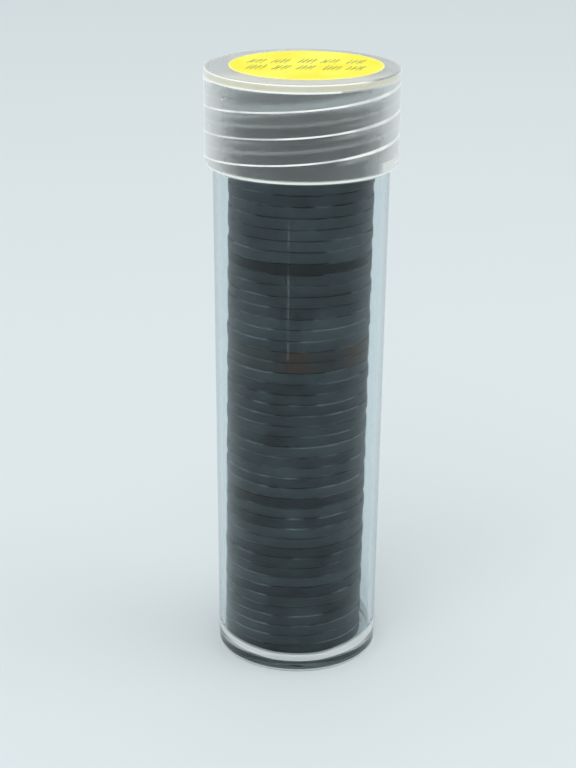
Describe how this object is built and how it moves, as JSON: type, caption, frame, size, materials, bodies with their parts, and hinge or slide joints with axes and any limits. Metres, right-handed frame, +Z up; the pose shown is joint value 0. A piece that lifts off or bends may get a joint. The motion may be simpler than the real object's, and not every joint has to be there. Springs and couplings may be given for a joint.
{
  "type": "coin tube",
  "caption": "Clear round tube with a frosted screw cap and a round paper label, standing on its foot and filled with a roll of small rimmed coins.",
  "frame": {"origin": "middle of the foot, on the surface that the tube stands on", "axes": "+Z up the tube's axis towards the cap, -Y towards the front as pictured, +X to the right"},
  "size_m": [0.0252, 0.0252, 0.0821],
  "materials": {
    "clear_tube": "clear moulded, glossy",
    "frosted_cap": "translucent, satin",
    "label_paper": "matt paper",
    "coin_steel": "tarnished",
    "coin_dark": "dark tarnish",
    "coin_brown": "tarnished, a little rust"
  },
  "bodies": {
    "tube": {"tube_body": "clear_tube"},
    "lowest_coin": {"coin_01": "coin_steel"},
    "cap": {"screw_cap": "frosted_cap", "cap_label": "label_paper"},
    "coin_roll": {"coin_02": "coin_steel", "coin_03": "coin_steel", "coin_04": "coin_steel", "coin_05": "coin_steel", "coin_06": "coin_steel", "coin_07": "coin_dark", "coin_08": "coin_steel", "coin_09": "coin_steel", "coin_10": "coin_steel", "coin_11": "coin_dark", "coin_12": "coin_steel", "coin_13": "coin_steel", "coin_14": "coin_steel", "coin_15": "coin_steel", "coin_16": "coin_dark", "coin_17": "coin_steel", "coin_18": "coin_steel", "coin_19": "coin_steel", "coin_20": "coin_steel", "coin_21": "coin_steel", "coin_22": "coin_steel", "coin_23": "coin_steel", "coin_24": "coin_steel", "coin_25": "coin_steel", "coin_26": "coin_steel", "coin_27": "coin_steel", "coin_28": "coin_steel", "coin_29": "coin_brown", "coin_30": "coin_brown", "coin_31": "coin_steel", "coin_32": "coin_steel", "coin_33": "coin_steel", "coin_34": "coin_steel", "coin_35": "coin_steel", "coin_36": "coin_steel", "coin_37": "coin_steel", "coin_38": "coin_dark", "coin_39": "coin_steel", "coin_40": "coin_steel", "coin_41": "coin_steel", "coin_42": "coin_steel", "coin_43": "coin_steel", "coin_44": "coin_steel", "coin_45": "coin_steel", "coin_46": "coin_steel", "coin_47": "coin_steel", "coin_48": "coin_steel", "coin_49": "coin_steel", "coin_50": "coin_steel"}
  },
  "joints": [
    {"name": "cap_turn", "type": "hinge", "parent": "tube", "child": "lowest_coin", "pos_m": [0, 0, 0.002], "axis": [0, 0, 1], "range_deg": [0, 720]},
    {"name": "cap_lift", "type": "slide", "parent": "lowest_coin", "child": "cap", "axis": [0, 0, 1], "range_m": [0, 0.0133]},
    {"name": "roll_play", "type": "slide", "parent": "tube", "child": "coin_roll", "axis": [0, 0, 1], "range_m": [0, 0.0043]}
  ],
  "couplings": [
    {"joint": "cap_lift", "follows": "cap_turn", "m_per_rad": 0.0010504}
  ]
}
